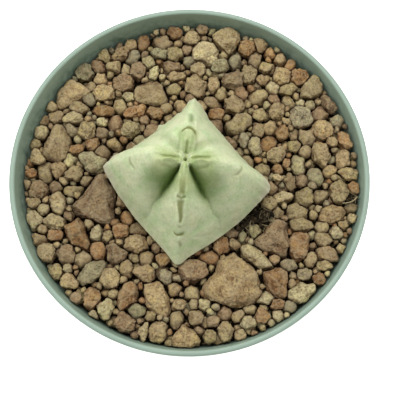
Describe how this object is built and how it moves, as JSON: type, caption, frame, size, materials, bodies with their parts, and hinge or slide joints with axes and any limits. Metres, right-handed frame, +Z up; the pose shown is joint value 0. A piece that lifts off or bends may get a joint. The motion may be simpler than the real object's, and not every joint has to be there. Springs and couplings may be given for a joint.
{
  "type": "potted whitesloanea",
  "caption": "Four-cornered succulent with a lobed crown, growing in a round tapered plastic pot filled with soil and topped with coarse gravel.",
  "frame": {"origin": "centre of the pot's foot, where its axis meets the surface that it stands on", "axes": "+Z up along the pot's axis, +X to the right and +Y to the back of the view from the front"},
  "size_m": [0.11, 0.11, 0.104],
  "materials": {
    "pot_plastic": "moulded satin sage-green polypropylene",
    "soil": "dark crumbly potting soil with fibres",
    "plant_skin": "matte waxy grey-green plant skin",
    "gravel_tan": "rough tan volcanic gravel",
    "gravel_brown": "rough brown volcanic gravel",
    "gravel_orange": "porous rust-orange gravel",
    "gravel_grey": "rough grey gravel",
    "gravel_pale": "rough pale pumice gravel"
  },
  "bodies": {
    "root": {"pot": "pot_plastic", "potting_soil": "soil", "gravel_bed": "gravel_tan", "whitesloanea_plant": "plant_skin", "gravel_stone_01": "gravel_tan", "gravel_stone_02": "gravel_brown", "gravel_stone_03": "gravel_brown", "gravel_stone_04": "gravel_tan", "gravel_stone_05": "gravel_tan", "gravel_stone_06": "gravel_tan", "gravel_stone_07": "gravel_tan", "gravel_stone_08": "gravel_pale", "gravel_stone_09": "gravel_tan", "gravel_stone_10": "gravel_tan", "gravel_stone_11": "gravel_orange", "gravel_stone_12": "gravel_orange", "gravel_stone_13": "gravel_orange", "gravel_stone_14": "gravel_orange", "gravel_stone_15": "gravel_pale", "gravel_stone_16": "gravel_grey", "gravel_stone_17": "gravel_grey", "gravel_stone_18": "gravel_orange", "gravel_stone_19": "gravel_orange", "gravel_stone_20": "gravel_brown", "gravel_stone_21": "gravel_tan", "gravel_stone_22": "gravel_orange", "gravel_stone_23": "gravel_brown", "gravel_stone_24": "gravel_grey", "gravel_stone_25": "gravel_tan", "gravel_stone_26": "gravel_tan", "gravel_stone_27": "gravel_tan", "gravel_stone_28": "gravel_orange", "gravel_stone_29": "gravel_brown", "gravel_stone_30": "gravel_orange", "gravel_stone_31": "gravel_brown", "gravel_stone_32": "gravel_tan", "gravel_stone_33": "gravel_brown", "gravel_stone_34": "gravel_tan", "gravel_stone_35": "gravel_pale", "gravel_stone_36": "gravel_tan", "gravel_stone_37": "gravel_tan", "gravel_stone_38": "gravel_tan", "gravel_stone_39": "gravel_brown", "gravel_stone_40": "gravel_pale", "gravel_stone_41": "gravel_tan", "gravel_stone_42": "gravel_brown", "gravel_stone_43": "gravel_brown", "gravel_stone_44": "gravel_tan", "gravel_stone_45": "gravel_orange", "gravel_stone_46": "gravel_tan", "gravel_stone_47": "gravel_tan", "gravel_stone_48": "gravel_tan", "gravel_stone_49": "gravel_tan", "gravel_stone_50": "gravel_tan", "gravel_stone_51": "gravel_grey", "gravel_stone_52": "gravel_pale", "gravel_stone_53": "gravel_brown", "gravel_stone_54": "gravel_tan"}
  },
  "joints": []
}
